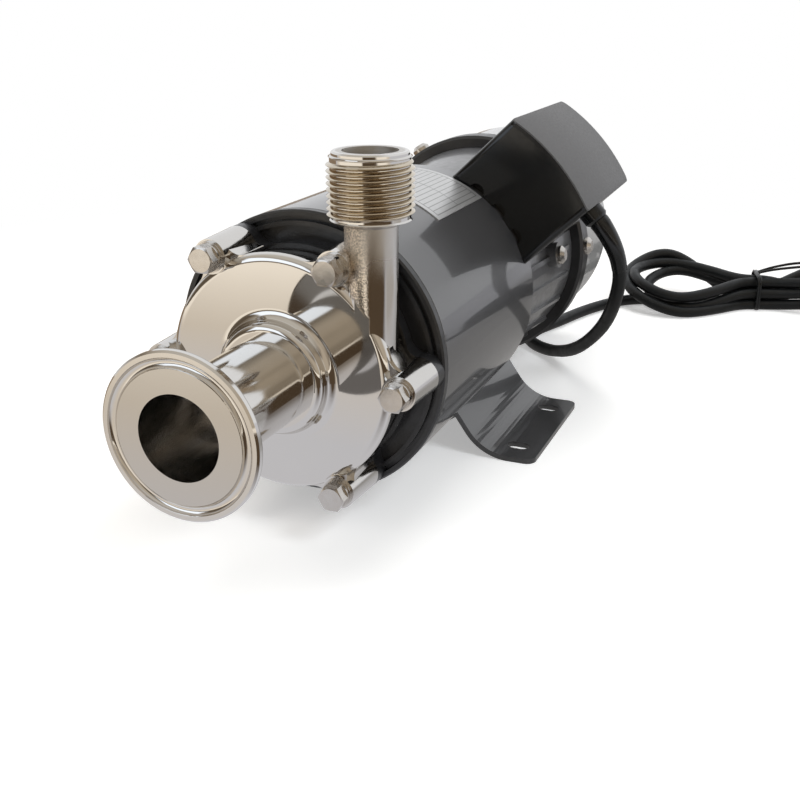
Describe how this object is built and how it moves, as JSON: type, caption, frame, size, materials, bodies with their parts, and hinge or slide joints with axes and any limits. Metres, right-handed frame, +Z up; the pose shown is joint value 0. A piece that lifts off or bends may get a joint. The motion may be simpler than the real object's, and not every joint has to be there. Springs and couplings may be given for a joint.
{
  "type": "sanitary centrifugal pump",
  "caption": "Close-coupled sanitary centrifugal pump: stainless volute casing with clamp inlet and threaded outlet on a foot-mounted fan-cooled motor with a corded terminal box.",
  "frame": {"origin": "middle of the four mounting slots, on the floor under the feet", "axes": "+Y along the shaft from the inlet to the fan, +Z up along the outlet, +X to the side of the outlet and the terminal box"},
  "size_m": [0.3496, 0.4845, 0.1271],
  "materials": {
    "polished_stainless": "polished",
    "plated_steel": "satin",
    "seal_rubber": "matte",
    "seal_carbon": "lapped",
    "seal_ceramic": "lapped",
    "black_paint": "satin",
    "gray_paint": "gloss",
    "gray_casting": "satin",
    "laminations": "matte",
    "copper": "varnished",
    "shaft_steel": "ground",
    "bearing_steel": "polished",
    "cage_plastic": "matte",
    "black_plastic": "matte",
    "gray_plastic": "matte",
    "pale_plastic": "matte",
    "cord_rubber": "satin",
    "brass_pins": "polished"
  },
  "bodies": {
    "base": {"inlet_ferrule": "polished_stainless", "pump_casing": "polished_stainless", "casing_bolts": "plated_steel", "spring_washers": "plated_steel", "flat_washers": "plated_steel", "back_plate": "polished_stainless", "casing_o_ring": "seal_rubber", "seal_seat": "seal_ceramic", "bracket": "black_paint", "motor_sleeve": "gray_paint", "left_foot": "gray_paint", "right_foot": "gray_paint", "stator_core": "laminations", "windings": "copper", "bearing_outers": "bearing_steel", "wave_washer": "bearing_steel", "rear_shield": "gray_casting", "shield_screws": "plated_steel", "cover_ring": "black_paint", "ring_screws": "plated_steel", "fan_cover": "gray_paint", "terminal_box": "black_plastic", "box_screws": "plated_steel", "box_lid": "gray_plastic", "terminal_block": "pale_plastic", "capacitor": "black_plastic", "cable_gland": "black_plastic", "power_cord": "cord_rubber", "cord_hank": "cord_rubber", "cord_tie": "black_plastic", "cord_tail": "cord_rubber", "plug_body": "cord_rubber", "plug_pins": "brass_pins"},
    "rotor": {"shaft": "shaft_steel", "impeller": "polished_stainless", "impeller_nut": "polished_stainless", "seal_bellows": "seal_rubber", "seal_ring": "seal_carbon", "rotor_core": "laminations", "bearing_inners": "bearing_steel", "fan": "black_plastic"},
    "ball_set": {"bearing_balls": "bearing_steel", "bearing_cages": "cage_plastic"}
  },
  "joints": [
    {"name": "shaft_spin", "type": "hinge", "parent": "base", "child": "rotor", "pos_m": [0, 0, 0.056], "axis": [0, -1, 0], "continuous": true},
    {"name": "ball_spin", "type": "hinge", "parent": "base", "child": "ball_set", "pos_m": [0, 0, 0.056], "axis": [0, -1, 0], "continuous": true}
  ],
  "couplings": [
    {"joint": "ball_spin", "follows": "shaft_spin", "ratio": 0.366}
  ]
}
